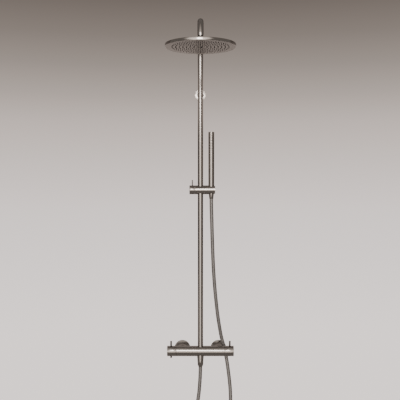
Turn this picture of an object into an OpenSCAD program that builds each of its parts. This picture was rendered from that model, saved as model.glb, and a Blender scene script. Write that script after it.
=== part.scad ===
// Rainfall shower column for a wall: bar valve, riser, gooseneck arm, rain head, sliding holder,
// stick handset and hose. Millimetres. The origin is midway between the two wall inlets in the
// finished wall's plane, with +X to the right, +Y into the wall and +Z up.

/* [Wall connections] */
// Distance between the two water inlets
inlet_centres = 150; // [140:1:160]
// Distance from the wall to the axis of the bar and the riser
bar_out = 66; // [60:1:80]
// Diameter of the wall thread (G1/2)
wall_thread_d = 20.96; // [20.5:0.01:21.2]
// Length of the wall thread
wall_thread_len = 24; // [15:1:35]
// Diameter of the thread under each union nut (G3/4)
union_thread_d = 26.4; // [26:0.1:27]
// Size of the union nuts across their flats
union_nut_af = 30; // [30:1:34]
// Diameter of the bell-shaped wall flanges
flange_d = 66; // [56:1:76]
// How far a wall flange stands out from the wall
flange_depth = 21; // [19:0.5:21.5]

/* [Bar valve] */
// Diameter of the bar
bar_d = 42; // [40:0.5:52]
// Length of the bar over both knobs
bar_len = 272; // [260:1:330]
// Length of each knob
knob_len = 38; // [32:1:42]
// Diameter of the cartridge seats
cartridge_d = 34; // [30:0.5:34]
// Length of each cartridge seat
cartridge_len = 60; // [55:1:64]
// Diameter of the lever pins on the knobs
lever_d = 7.5; // [4:0.5:8]
// How far a lever pin stands above its knob
lever_rise = 20; // [12:1:30]
// Distance from a knob's end to its lever pin
lever_inset = 16; // [12:0.5:18]
// Diameter of the safety button under the temperature knob
button_d = 7.2; // [5:0.1:8]
// Travel of the safety button
button_travel = 2; // [1:0.1:2.5]

/* [Riser and arm] */
// Outer diameter of the riser and the arm
riser_d = 22; // [18:0.5:24]
// Wall of the riser and the arm
tube_wall = 1.5; // [1.2:0.1:2]
// Height where the riser meets the arm
joint_z = 1030; // [950:1:1045]
// Height of the wall bracket
bracket_z = 1054; // [1050:1:1100]
// Diameter of the bracket's wall flange
bracket_flange_d = 48; // [44:1:60]
// Diameter of the bracket's rod
bracket_rod_d = 16; // [14:0.5:18]
// Height of the arm's horizontal stretch
arm_z = 1255; // [1255:1:1300]
// Reach of the arm from the riser's axis to the head's axis
arm_reach = 440; // [300:5:500]
// Bend radius of the arm at the tube's centre
bend_r = 56; // [50:1:58]
// Height of the arm's lower end
arm_end_z = 1194; // [1190:1:1195]

/* [Rain head] */
// Diameter of the rain head
head_d = 250; // [200:5:320]
// Thickness of the rain head at its rim
head_rim = 10.5; // [7:0.5:12]
// Height of the rain head's underside
head_z = 1153; // [1150:1:1156]
// Wall of the head's shell
head_wall = 1.2; // [1:0.1:1.6]
// Diameter of the ball in the head's ball joint
ball_d = 22; // [20:0.5:24]
// Diameter of the neck above the ball
neck_d = 10; // [8:0.5:10]
// Distance from the head's edge to the outermost ring of nozzles
nozzle_margin = 25; // [22:0.5:40]
// Number of nozzle rings round the middle one
nozzle_rings = 8; // [5:1:8]
// Diameter of a rain nozzle
rain_nozzle_d = 2.8; // [2:0.1:4]

/* [Handset holder] */
// Diameter of the holder's body
holder_d = 36; // [34:0.5:42]
// Height of the holder's axis in its middle position
holder_z = 659; // [500:1:700]
// Length of the holder to the left of the riser's axis
holder_left = 45; // [43:1:55]
// Length of the holder to the right of the riser's axis
holder_right = 60; // [60:1:66]
// Length of the locking knob at the holder's left end
lock_len = 22.6; // [18:0.1:24]
// Diameter of the locking pin
lock_pin_d = 4.5; // [4:0.1:6]
// How far the locking pin stands above the holder's axis
lock_pin_rise = 40.5; // [30:0.5:50]
// Wall of the plastic sleeve between the holder and the riser
bush_wall = 1; // [0.8:0.1:1.5]

/* [Handset and hose] */
// Distance from the riser's axis to the handset's axis
handset_x = 44.5; // [42:0.5:46]
// Outer diameter of the handset
handset_d = 24; // [24:0.5:26]
// Length of the handset's handle
handset_len = 225; // [180:1:270]
// Wall of the handset's tube
handset_wall = 1.4; // [1.2:0.1:1.5]
// Number of nozzle rows on the handset
spray_rows = 6; // [3:1:10]
// Distance between neighbouring nozzle rows
spray_pitch = 11; // [8:0.5:14]
// Diameter of the shower hose
hose_d = 15; // [14:0.1:15.2]
// Length of the threads under the hose nuts (G1/2)
hose_thread_len = 13; // [10:0.5:14]

/* [Clearances] */
// Radial clearance of turning and sliding fits
running = 0.05; // [0.02:0.01:0.1]
// Gap between faces that pass one another
face_gap = 0.4; // [0.3:0.1:0.6]
// Radial gap between the hose and the fittings that it passes through
hose_gap = 0.1; // [0.05:0.05:0.2]

/* [Hidden] */
$fn = 64;

metal = [0.42, 0.38, 0.35];
dark_metal = [0.25, 0.23, 0.21];
brass = [0.75, 0.62, 0.35];
white_plastic = [0.9, 0.9, 0.88];
grey_plastic = [0.5, 0.5, 0.52];
black_rubber = [0.08, 0.08, 0.08];
steel = [0.7, 0.7, 0.72];
hose_grey = [0.5, 0.48, 0.46];

// Over-run of a cutting tool past an open face.
cut = 1;
small_edge = 0.8;
pin_edge = 0.4;

// Bar valve, along X and measured from the riser's axis.
bar_r = bar_d / 2;
bar_half = bar_len / 2;
body_half = bar_half - knob_len;
seat_r = cartridge_d / 2;
seat_start = body_half - cartridge_len;
waterway_r = 9;
port_r = 6.5;
retainer_len = 8;
cartridge_r = seat_r - 0.1;
chamber_r = 14.5;
chamber_len = 10.2;
disc_r = chamber_r - running;
disc_len = 3;
disc_port_r = 3;
disc_port_place = 8;
disc_x = seat_start + 0.5;
cartridge_neck_r = 8;
stem_r = 4;
knob_wall = 3.5;
knob_cavity_len = 29;
stem_end = bar_half - 12;
screw_r = 2;
screw_head_r = 3.6;
screw_head_len = 3;
screw_end = 26;
lever_x = bar_half - lever_inset;
lever_r = lever_d / 2;
lever_stud_r = 2;
button_r = button_d / 2;
button_show = button_travel + 5.5;
button_head_r = button_r + 1.2;
button_head_len = 1.5;

// Wall side. Distances named _out are measured from the wall.
union_thread_r = union_thread_d / 2;
union_bore_r = 7.5;
union_body_r = 12;
nut_far_out = flange_depth + 0.5;
union_end_out = bar_out - bar_r - 13;
washer_len = 2;
washer_r = 12.4;
tail_flange_out = union_end_out + washer_len;
tail_flange_len = 2.5;
tail_r = 10;
tail_bore_r = 8;
tail_end_out = bar_out - seat_r - 2.2;
nut_near_out = tail_flange_out + tail_flange_len;
nut_lip_len = 4;
check_valve_len = 11;
flange_wall = 1.2;

// Riser, arm and bracket.
riser_r = riser_d / 2;
riser_bore_r = riser_r - tube_wall;
riser_seat_z = waterway_r + 3;
seal_wire_r = 0.95;
seal_z = riser_seat_z + 3.2;
sleeve_wall = 1.3;
sleeve_half = 18;
bracket_flange_out = 12;
bracket_base_r = 18;
bracket_base_out = 6;
hanger_r = 4;
hanger_metric_r = 3;
hanger_in_wall = 35;
hanger_out = 20;
bracket_screw_r = 3;
bracket_screw_depth = 14;
head_axis_out = bar_out + arm_reach;

// Rain head, with the ball's centre above the head.
ball_r = ball_d / 2;
ball_z = head_z + head_rim + 13;
neck_r = neck_d / 2;
head_top_z = head_z + head_rim;
rim_wall = 2;
plate_inset = 0.3;
plate_z = head_z + plate_inset;
mat_z = plate_z + head_wall;
mat_len = 1.6;
nozzle_field_r = head_d / 2 - nozzle_margin;
nozzle_pitch = nozzle_field_r / nozzle_rings;
mat_r = nozzle_field_r + 6.25;
nozzle_drop = 1.8;
tilt_limit = 15;
hub_r = 15.5;
hub_foot_r = 24;
hub_foot_len = 2.5;
socket_r = 18.5;
waterway_in_head_r = 5;
mouth_r = neck_r / cos(tilt_limit) + 1.2;
socket_end = 8;
ball_seat_wall = 1.4;
ball_seat_r = ball_r + running + ball_seat_wall;
ball_cavity_r = ball_seat_r + running;

// Holder.
holder_r = holder_d / 2;
bush_r = riser_r + running + bush_wall;
lock_face_x = -holder_left + lock_len;
lock_screw_r = 3;
lock_screw_end = -riser_r - 4;
lock_pad_r = 4;
lock_pin_x = -33;
lock_pin_seat = 8;
hose_slot_w = 16;

// Handset, hose nuts and hose.
hose_r = hose_d / 2;
hose_thread_r = 10.48;
nut_gap = 0.05;
cone_bore_r = hose_r + hose_gap + 0.05;
cone_tip_r = hose_r + 0.8;
handset_r = handset_d / 2;
cone_foot_z = holder_z - 37;
cone_top_z = cone_foot_z + 35;
handset_nut_top_z = cone_top_z + hose_thread_len;
ferrule_top_z = cone_top_z - 2;
ferrule_len = 15;
ferrule_r = hose_r + hose_gap + 1.2;
ferrule_flange_len = 2;
ferrule_flange_r = 9.9;
handset_foot_z = handset_nut_top_z + 0.5;
handset_top_z = handset_foot_z + handset_len;
handset_bore_r = handset_r - handset_wall;
inlet_top_z = handset_foot_z + 55;
cap_len = 2;
core_len = 72;
first_row_drop = 13.5;
spray_nozzle_r = 1.2;
spray_nozzle_out = 0.8;
spray_angles = [-24, 0, 24];

outlet_collar_r = 13.5;
outlet_spigot_r = 9.5;
outlet_spigot_z = -waterway_r - 3;
valve_nut_top_r = outlet_collar_r - 0.75;
valve_nut_waist_r = valve_nut_top_r - 1.15;
valve_ferrule_len = 10.5;
boss_z = -bar_r - 3;
outlet_collar_len = 5;
outlet_thread_z = boss_z - outlet_collar_len;
valve_nut_top_z = outlet_thread_z - 0.3;
valve_nut_shoulder_z = -55;
valve_nut_foot_z = -64;
valve_nut_bore_z = outlet_thread_z - hose_thread_len - 4;
hose_foot_z = valve_nut_bore_z;
valve_ferrule_z = valve_nut_bore_z + ferrule_flange_len - valve_ferrule_len;

// The hose's route from the valve to the handset: sideways, out from the wall, height.
HOSE_ROUTE = [
    [0, 66, hose_foot_z], [0, 66, -64], [-0.5, 66, -90], [-2, 66, -119], [-5, 66, -160],
    [-9.5, 66, -196], [-15, 66, -232], [-19.5, 65, -264], [-21, 63, -294], [-17, 60, -324],
    [-7, 57, -350], [9, 53, -369], [30, 49, -380], [53, 46, -383], [76, 43, -377],
    [96, 40, -362], [111, 38, -339], [120, 37, -310], [124, 36, -276], [125, 35.5, -240],
    [124.5, 35, -205], [123.4, 33, -168], [119.8, 31, -127], [115.3, 29, -90],
    [111, 27, -58], [105.5, 25, -27], [100, 25, 2], [94, 26.5, 24], [86.5, 30, 51],
    [79, 36, 92], [70.5, 42, 148], [61.5, 51, 230], [55, 57, 310], [51, 60.5, 388],
    [48.3, 64, 466], [46.2, 65.5, 540], [44.8, 66, 590], [44.5, 66, 622],
    [44.5, 66, 652]
];
HOSE_STEPS = 2;
HOSE_SIDES = 12;

// ---- Placing helpers ----

// Along X on the bar's axis, from x0 to x1.
module bar_cyl(x0, x1, r) {
    translate([x0, -bar_out, 0]) rotate([0, 90, 0]) cylinder(r = r, h = x1 - x0);
}

// Along Z at the riser's distance from the wall, from z0 to z1.
module post_cyl(z0, z1, r, x = 0, out = bar_out) {
    translate([x, -out, z0]) cylinder(r = r, h = z1 - z0);
}

// Straight out from the wall, from out0 to out1.
module wall_cyl(out0, out1, r, x = 0, z = 0) {
    translate([x, -out0, z]) rotate([90, 0, 0]) cylinder(r = r, h = out1 - out0);
}

module ring(r_out, r_in, h) {
    difference() {
        cylinder(r = r_out, h = h);
        translate([0, 0, -cut]) cylinder(r = r_in, h = h + 2 * cut);
    }
}

// The children stand at the left inlet and, mirrored, at the right one.
module both_inlets() {
    for (side = [-1, 1]) at_inlet(side) children();
}

module at_inlet(side) {
    translate([side * inlet_centres / 2, 0, 0]) children();
}

// Puts children made for the right end of the bar at the left end.
module left_end() {
    mirror([1, 0, 0]) children();
}

// ---- Bar valve ----

module valve_body() {
    color(metal) difference() {
        union() {
            bar_cyl(-body_half, body_half, bar_r);
            post_cyl(boss_z, 0, outlet_collar_r);
        }
        bar_cyl(-body_half - cut, body_half + cut, waterway_r);
        for (side = [0, 1]) mirror([side, 0, 0]) {
            bar_cyl(seat_start, body_half + cut, seat_r);
            wall_cyl(bar_out - bar_r - cut, bar_out, tail_r + nut_gap, x = inlet_centres / 2);
        }
        post_cyl(riser_seat_z, bar_r + cut, riser_r + nut_gap);
        post_cyl(0, riser_seat_z + cut, port_r);
        translate([0, -bar_out, seal_z]) cylinder(r = riser_r + 2 * seal_wire_r + 0.15,
            h = 2 * seal_wire_r + 0.2);
        post_cyl(boss_z - cut, 0, port_r);
        post_cyl(boss_z - cut, outlet_spigot_z, outlet_spigot_r + nut_gap);
    }
}

// A cartridge for the right end, with its stem's bore open at the neck.
module cartridge_shell() {
    difference() {
        union() {
            bar_cyl(disc_x, body_half - retainer_len, cartridge_r);
            bar_cyl(body_half - retainer_len - cut, body_half, cartridge_neck_r);
        }
        bar_cyl(disc_x + 2, body_half + cut, stem_r + running);
        children();
    }
}

// The inlet's water comes into a cartridge through a round port in its back.
module cartridge_port() {
    wall_cyl(bar_out - cartridge_r - cut, bar_out - stem_r - 3, port_r, x = inlet_centres / 2);
}

module thermostatic_cartridge() {
    color(brass) left_end() cartridge_shell() cartridge_port();
}

module diverter_cartridge() {
    color(white_plastic) cartridge_shell() {
        bar_cyl(seat_start - cut, disc_x + chamber_len, chamber_r);
        cartridge_port();
    }
}

module retainer() {
    difference() {
        bar_cyl(body_half - retainer_len, body_half - face_gap, cartridge_r);
        bar_cyl(body_half - retainer_len - cut, body_half + cut, cartridge_neck_r + 0.1);
    }
}

module thermostat_nut() {
    color(brass) left_end() retainer();
}

module diverter_nut() {
    color(brass) retainer();
}

module ceramic_disc(x0) {
    difference() {
        bar_cyl(x0, x0 + disc_len, disc_r);
        for (up = [-1, 1]) translate([0, 0, up * disc_port_place])
            bar_cyl(x0 - cut, x0 + disc_len + cut, disc_port_r);
    }
}

module ceramic_disc_fixed() {
    color(white_plastic) ceramic_disc(disc_x);
}

module ceramic_disc_moving() {
    color(steel) ceramic_disc(disc_x + disc_len + running);
}

// The stem behind the moving disc, turned by the knob.
module stem(x0, foot_r) {
    difference() {
        union() {
            bar_cyl(x0, stem_end, stem_r);
            bar_cyl(x0, x0 + disc_len, foot_r);
        }
        bar_cyl(stem_end - screw_end, stem_end + cut, screw_r + nut_gap);
    }
}

module temperature_stem() {
    color(steel) left_end() stem(seat_start + 3, stem_r);
}

module flow_stem() {
    color(steel) stem(disc_x + 2 * disc_len + running, disc_r - 2);
}

// A knob for the right end: a turned cap with a hub for the stem.
module knob() {
    knob_x = body_half + face_gap;
    difference() {
        translate([knob_x, -bar_out, 0]) rotate([0, 90, 0]) rotate_extrude() polygon([
            [0, 0], [bar_r, 0], [bar_r, bar_half - knob_x - small_edge],
            [bar_r - small_edge, bar_half - knob_x], [0, bar_half - knob_x]
        ]);
        difference() {
            bar_cyl(knob_x - cut, knob_x + knob_cavity_len, bar_r - knob_wall);
            bar_cyl(knob_x + face_gap, bar_half, stem_r + knob_wall);
        }
        bar_cyl(knob_x - cut, stem_end + 0.1, stem_r + nut_gap);
        bar_cyl(stem_end - cut, bar_half, screw_r + nut_gap);
        bar_cyl(bar_half - screw_head_len, bar_half + cut, screw_head_r + 0.1);
        post_cyl(bar_r - knob_wall - cut, bar_r + cut, lever_stud_r + nut_gap, x = lever_x);
    }
}

module temperature_knob() {
    color(metal) left_end() difference() {
        knob();
        post_cyl(-bar_r - cut, -bar_r + knob_wall + cut, button_r + running, x = lever_x);
    }
}

module flow_knob() {
    color(metal) knob();
}

// A lever pin for the right end. Its foot fits the round knob, and a stud holds it in the wall.
module lever() {
    tip_z = bar_r + lever_rise;
    post_cyl(bar_r - knob_wall, bar_r + cut, lever_stud_r, x = lever_x);
    difference() {
        union() {
            post_cyl(0, tip_z - pin_edge, lever_r, x = lever_x);
            translate([lever_x, -bar_out, tip_z - pin_edge])
                cylinder(r1 = lever_r, r2 = lever_r - pin_edge, h = pin_edge);
        }
        bar_cyl(lever_x - lever_d, lever_x + lever_d, bar_r + 0.02);
    }
}

module temperature_pin() {
    color(metal) left_end() lever();
}

module flow_pin() {
    color(metal) lever();
}

module knob_screw() {
    bar_cyl(stem_end - screw_end + 2, bar_half - screw_head_len + cut, screw_r);
    bar_cyl(bar_half - screw_head_len, bar_half - 0.3, screw_head_r);
}

module temperature_screw() {
    color(steel) left_end() knob_screw();
}

module flow_screw() {
    color(steel) knob_screw();
}

// The button's flange rests inside the knob's round wall.
module stop_button() {
    cavity_r = bar_r - knob_wall;
    rest_z = face_gap - sqrt(cavity_r * cavity_r - button_head_r * button_head_r);
    color(dark_metal) left_end() {
        post_cyl(-bar_r - button_show, rest_z + cut, button_r, x = lever_x);
        post_cyl(rest_z, rest_z + button_head_len, button_head_r, x = lever_x);
    }
}

// ---- Wall connections ----

module inlet_tails() {
    color(brass) both_inlets() difference() {
        union() {
            wall_cyl(tail_flange_out, tail_end_out, tail_r);
            wall_cyl(tail_flange_out, nut_near_out, washer_r);
        }
        wall_cyl(tail_flange_out - cut, tail_end_out + cut, tail_bore_r);
    }
}

module check_valves() {
    color(grey_plastic) both_inlets() difference() {
        wall_cyl(tail_flange_out + 1, tail_flange_out + 1 + check_valve_len, tail_bore_r - 0.1);
        for (turn = [0, 90, 180, 270]) rotate([0, turn, 0])
            wall_cyl(tail_flange_out, tail_flange_out + check_valve_len + 2, 2.2, x = 4.4);
    }
}

module union_washers() {
    color(black_rubber) both_inlets() difference() {
        wall_cyl(union_end_out, tail_flange_out, washer_r);
        wall_cyl(union_end_out - cut, tail_flange_out + cut, union_bore_r + 0.5);
    }
}

module union_nuts() {
    nut_end_out = nut_near_out + nut_lip_len;
    color(metal) both_inlets() difference() {
        intersection() {
            translate([0, -nut_far_out, 0]) rotate([90, 0, 0])
                cylinder(r = union_nut_af / sqrt(3), h = nut_end_out - nut_far_out, $fn = 6);
            wall_cyl(nut_far_out, nut_end_out, union_nut_af / 2 + 1.4);
        }
        wall_cyl(nut_far_out - cut, nut_near_out + 0.1, union_thread_r + nut_gap);
        wall_cyl(nut_far_out, nut_end_out + cut, tail_r + 0.2);
    }
}

module wall_union() {
    difference() {
        union() {
            wall_cyl(-wall_thread_len, 0.5, wall_thread_d / 2);
            wall_cyl(0, flange_depth, union_body_r);
            wall_cyl(nut_far_out - 5, union_end_out, union_thread_r);
        }
        wall_cyl(-wall_thread_len - cut, union_end_out + cut, union_bore_r);
    }
}

module wall_union_left() {
    color(brass) at_inlet(-1) wall_union();
}

module wall_union_right() {
    color(brass) at_inlet(1) wall_union();
}

// A thin bell: a short rim at the wall, then a curve that steepens up to the union's hole.
module wall_flange() {
    rim_h = 2;
    nose_r = union_thread_r + 0.4;
    throat_r = nose_r + flange_wall;
    sweep_r = flange_d / 2 - small_edge - throat_r;
    sweep_h = flange_depth - rim_h - small_edge;
    steps = 12;
    curve = [for (k = [0:steps]) let(t = k / steps) [
        throat_r + sweep_r * (1 - t),
        rim_h + small_edge + sweep_h * (0.47 * t + 0.53 * pow(t, 3))
    ]];
    inside = [for (i = [steps:-1:0]) curve[i] + [-flange_wall * 0.8, -flange_wall]];
    rotate([90, 0, 0]) rotate_extrude() difference() {
        polygon(concat(
            [[nose_r, 0], [flange_d / 2, 0], [flange_d / 2, rim_h]], curve,
            [[nose_r, flange_depth]]
        ));
        polygon(concat(
            [[nose_r - cut, flange_depth - flange_wall]], inside,
            [[flange_d / 2 - flange_wall - 1, -cut], [nose_r - cut, -cut]]
        ));
    }
}

module wall_flange_left() {
    color(metal) at_inlet(-1) wall_flange();
}

module wall_flange_right() {
    color(metal) at_inlet(1) wall_flange();
}

// ---- Riser, arm and bracket ----

module riser_tube() {
    color(metal) translate([0, -bar_out, riser_seat_z])
        ring(riser_r, riser_bore_r, joint_z - riser_seat_z);
}

module riser_seal() {
    color(black_rubber) translate([0, -bar_out, seal_z + seal_wire_r + 0.1])
        rotate_extrude() translate([riser_r + nut_gap + seal_wire_r, 0])
            circle(r = seal_wire_r, $fn = 24);
}

module joining_sleeve() {
    sleeve_r = riser_bore_r - nut_gap;
    color(brass) translate([0, -bar_out, joint_z - sleeve_half])
        ring(sleeve_r, sleeve_r - sleeve_wall, 2 * sleeve_half - 3);
}

// One quarter bend in the plane that stands out from the wall. It starts upright at the origin
// and leaves along the outward direction.
module quarter_bend() {
    translate([0, -bend_r, 0]) rotate([0, 90, 0]) rotate([0, 0, 90])
        rotate_extrude(angle = 90) translate([bend_r, 0]) difference() {
            circle(r = riser_r);
            circle(r = riser_bore_r);
        }
}

module shower_arm() {
    bend_z = arm_z - bend_r;
    color(metal) difference() {
        union() {
            translate([0, -bar_out, joint_z]) ring(riser_r, riser_bore_r, bend_z - joint_z);
            translate([0, -bar_out, bend_z]) quarter_bend();
            translate([0, -bar_out - bend_r, arm_z]) rotate([90, 0, 0])
                ring(riser_r, riser_bore_r, arm_reach - 2 * bend_r);
            translate([0, -head_axis_out, bend_z]) mirror([0, 1, 0]) quarter_bend();
            translate([0, -head_axis_out, arm_end_z]) ring(riser_r, riser_bore_r,
                bend_z - arm_end_z);
        }
        wall_cyl(bar_out - riser_r - 2, bar_out, bracket_screw_r + nut_gap, z = bracket_z);
    }
}

module bracket_flange() {
    outer_r = bracket_flange_d / 2;
    color(metal) difference() {
        translate([0, 0, bracket_z]) rotate([90, 0, 0]) rotate_extrude() polygon([
            [bracket_rod_d / 2 + 0.1, bracket_flange_out - flange_wall],
            [outer_r - flange_wall, bracket_flange_out - flange_wall],
            [outer_r - flange_wall, 0],
            [outer_r, 0],
            [outer_r, bracket_flange_out - small_edge],
            [outer_r - small_edge, bracket_flange_out],
            [bracket_rod_d / 2 + 0.1, bracket_flange_out]
        ]);
        translate([0, -bracket_base_out / 2, bracket_z - outer_r - cut])
            cylinder(r = screw_r + nut_gap, h = outer_r);
    }
}

module bracket_base() {
    color(steel) difference() {
        wall_cyl(0, bracket_base_out, bracket_base_r, z = bracket_z);
        wall_cyl(-cut, bracket_base_out + cut, hanger_r + nut_gap, z = bracket_z);
    }
}

module bracket_grub_screw() {
    outer_r = bracket_flange_d / 2;
    color(steel) translate([0, -bracket_base_out / 2, bracket_z - outer_r + 0.2])
        cylinder(r = screw_r, h = outer_r - bracket_base_r - 0.2 - 0.2);
}

// A wood thread in the wall plug and a slimmer metric thread in the rod.
module hanger_bolt() {
    color(steel) {
        wall_cyl(-hanger_in_wall, 0, hanger_r, z = bracket_z);
        wall_cyl(-cut, hanger_out, hanger_metric_r, z = bracket_z);
    }
}

// The rod ends in a saddle that fits the back of the tube.
module bracket_rod() {
    color(metal) difference() {
        wall_cyl(bracket_base_out, bar_out, bracket_rod_d / 2, z = bracket_z);
        wall_cyl(bracket_base_out - cut, hanger_out + 1, hanger_metric_r + nut_gap, z = bracket_z);
        wall_cyl(bar_out - riser_r - bracket_screw_depth - 1, bar_out,
            bracket_screw_r + nut_gap, z = bracket_z);
        post_cyl(bracket_z - bracket_rod_d, bracket_z + bracket_rod_d, riser_r + nut_gap);
    }
}

module bracket_screw() {
    head_out = bar_out - riser_bore_r + 1;
    color(steel) {
        wall_cyl(bar_out - riser_r - bracket_screw_depth, head_out + cut, bracket_screw_r,
            z = bracket_z);
        wall_cyl(head_out, head_out + 2.5, bracket_screw_r + 1, z = bracket_z);
    }
}

// ---- Hose outlet under the bar ----

module hose_outlet() {
    color(metal) difference() {
        union() {
            post_cyl(boss_z, outlet_spigot_z - 0.5, outlet_spigot_r);
            post_cyl(outlet_thread_z, boss_z, outlet_collar_r);
            post_cyl(outlet_thread_z - hose_thread_len, boss_z, hose_thread_r);
        }
        post_cyl(outlet_thread_z - hose_thread_len - cut, 0, port_r);
    }
}

module outlet_washer() {
    thread_end_z = outlet_thread_z - hose_thread_len;
    color(black_rubber) translate([0, -bar_out, thread_end_z - washer_len])
        ring(hose_thread_r - 0.2, union_bore_r, washer_len);
}

module valve_hose_nut() {
    color(metal) difference() {
        translate([0, -bar_out, 0]) rotate_extrude() polygon([
            [0, valve_nut_top_z], [valve_nut_top_r, valve_nut_top_z],
            [valve_nut_waist_r, valve_nut_shoulder_z],
            [valve_nut_waist_r - pin_edge, valve_nut_shoulder_z - small_edge],
            [cone_tip_r, valve_nut_foot_z], [0, valve_nut_foot_z]
        ]);
        post_cyl(valve_nut_bore_z, valve_nut_top_z + cut, hose_thread_r + nut_gap);
        post_cyl(valve_ferrule_z - 0.5, valve_nut_bore_z + cut, ferrule_r + nut_gap);
        post_cyl(valve_nut_foot_z - cut, valve_nut_bore_z, cone_bore_r);
    }
}

// A crimped sleeve with a flange that the nut draws up against the washer.
module ferrule(length) {
    difference() {
        union() {
            cylinder(r = ferrule_r, h = length);
            translate([0, 0, length - ferrule_flange_len])
                cylinder(r = ferrule_flange_r, h = ferrule_flange_len);
        }
        translate([0, 0, -cut]) cylinder(r = hose_r + hose_gap, h = length + 2 * cut);
    }
}

module valve_ferrule() {
    color(steel) translate([0, -bar_out, valve_ferrule_z]) ferrule(valve_ferrule_len);
}

// ---- Hose ----

function unit(v) = v / norm(v);

// A smooth curve through the route: the point at the fraction t between points i and i + 1.
function route_at(i, t) = let(
    last = len(HOSE_ROUTE) - 1,
    a = HOSE_ROUTE[max(i - 1, 0)],
    b = HOSE_ROUTE[i],
    c = HOSE_ROUTE[min(i + 1, last)],
    d = HOSE_ROUTE[min(i + 2, last)]
) 0.5 * (2 * b + (c - a) * t + (2 * a - 5 * b + 4 * c - d) * t * t
    + (3 * b - a - 3 * c + d) * t * t * t);

module hose() {
    spans = len(HOSE_ROUTE) - 1;
    stations = concat(
        [for (i = [0:spans - 1]) for (k = [0:HOSE_STEPS - 1]) route_at(i, k / HOSE_STEPS)],
        [HOSE_ROUTE[spans]]
    );
    path = [for (p = stations) [p[0], -p[1], p[2]]];
    count = len(path);
    points = [for (i = [0:count - 1])
        let(
            ahead = unit(path[min(i + 1, count - 1)] - path[max(i - 1, 0)]),
            across = unit(cross([0, 1, 0], ahead)),
            up = cross(ahead, across)
        )
        for (s = [0:HOSE_SIDES - 1])
            let(a = 360 * s / HOSE_SIDES)
            path[i] + hose_r * (cos(a) * across + sin(a) * up)
    ];
    walls = [for (i = [0:count - 2]) for (s = [0:HOSE_SIDES - 1])
        let(n = (s + 1) % HOSE_SIDES, b = i * HOSE_SIDES)
        [b + s, b + HOSE_SIDES + s, b + HOSE_SIDES + n, b + n]
    ];
    ends = [
        [for (s = [0:HOSE_SIDES - 1]) s],
        [for (s = [HOSE_SIDES - 1:-1:0]) (count - 1) * HOSE_SIDES + s]
    ];
    color(hose_grey) polyhedron(points = points, faces = concat(walls, ends));
}

// ---- Handset holder ----

module holder_cyl(x0, x1, r) {
    translate([0, 0, holder_z]) bar_cyl(x0, x1, r);
}

// The seat for the handset's cone nut: a cone below and a straight hole above.
module handset_seat() {
    seat_gap = 0.3;
    tip_r = cone_r(holder_z - holder_r) + seat_gap;
    wide_r = handset_r + seat_gap;
    below_z = holder_z - holder_r - cut;
    translate([handset_x, -bar_out, 0]) {
        translate([0, 0, below_z]) cylinder(r1 = tip_r - 0.11 * cut, r2 = wide_r,
            h = cone_top_z - below_z);
        translate([0, 0, cone_top_z]) cylinder(r = wide_r, h = 2 * holder_r);
    }
}

// The handset's cone nut narrows evenly from the handle's size to its tip.
function cone_r(z) = cone_tip_r
    + (handset_r - cone_tip_r) * (z - cone_foot_z) / (cone_top_z - cone_foot_z);

module holder_body() {
    color(metal) difference() {
        holder_cyl(lock_face_x + face_gap, holder_right, holder_r);
        post_cyl(holder_z - holder_d, holder_z + holder_d, bush_r + nut_gap);
        holder_cyl(lock_face_x - cut, 0, lock_screw_r + running);
        holder_cyl(lock_screw_end, 0, lock_pad_r + running);
        handset_seat();
        translate([handset_x, -bar_out - hose_slot_w / 2, holder_z - holder_d])
            cube([holder_right, hose_slot_w, 2 * holder_d]);
    }
}

// A split sleeve cut to the holder's round outline.
module slider_bush() {
    color(grey_plastic) difference() {
        intersection() {
            post_cyl(holder_z - holder_d, holder_z + holder_d, bush_r);
            holder_cyl(-bush_r - cut, bush_r + cut, holder_r);
        }
        post_cyl(holder_z - holder_d - cut, holder_z + holder_d + cut, riser_r + running);
        holder_cyl(-bush_r - cut, 0, lock_pad_r + running);
    }
}

module lock_pad() {
    color(white_plastic) difference() {
        holder_cyl(lock_screw_end + 0.1, 0, lock_pad_r);
        post_cyl(holder_z - holder_d, holder_z + holder_d, riser_r + running);
        translate([0, -bar_out - holder_r, holder_z - holder_r])
            translate([-riser_r / 2, 0, 0]) cube([riser_d, holder_d, holder_d]);
    }
}

module lock_knob() {
    color(metal) difference() {
        translate([-holder_left, -bar_out, holder_z]) rotate([0, 90, 0]) rotate_extrude()
            polygon([
                [0, 0], [holder_r - small_edge, 0], [holder_r, small_edge],
                [holder_r, lock_len], [0, lock_len]
            ]);
        holder_cyl(-holder_left + 5, lock_face_x + cut, lock_screw_r + nut_gap);
        post_cyl(holder_z + holder_r - lock_pin_seat, holder_z + holder_r + cut,
            lock_pin_d / 2 + nut_gap, x = lock_pin_x);
    }
}

module lock_pin() {
    tip_z = holder_z + lock_pin_rise;
    color(metal) {
        post_cyl(holder_z + holder_r - lock_pin_seat, tip_z - pin_edge, lock_pin_d / 2,
            x = lock_pin_x);
        translate([lock_pin_x, -bar_out, tip_z - pin_edge])
            cylinder(r1 = lock_pin_d / 2, r2 = lock_pin_d / 2 - pin_edge, h = pin_edge);
    }
}

module lock_screw() {
    color(steel) holder_cyl(-holder_left + 5, lock_screw_end, lock_screw_r);
}

// ---- Handset ----

module handset_cyl(z0, z1, r) {
    post_cyl(z0, z1, r, x = handset_x);
}

module handset_hose_nut() {
    color(metal) difference() {
        union() {
            translate([handset_x, -bar_out, cone_foot_z])
                cylinder(r1 = cone_tip_r, r2 = handset_r, h = cone_top_z - cone_foot_z);
            handset_cyl(cone_top_z, handset_nut_top_z, handset_r);
        }
        handset_cyl(ferrule_top_z - ferrule_flange_len - 0.1, handset_nut_top_z + cut,
            hose_thread_r + nut_gap);
        handset_cyl(ferrule_top_z - ferrule_len - 0.5, ferrule_top_z, ferrule_r + running);
        handset_cyl(cone_foot_z - cut, ferrule_top_z, cone_bore_r);
    }
}

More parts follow.
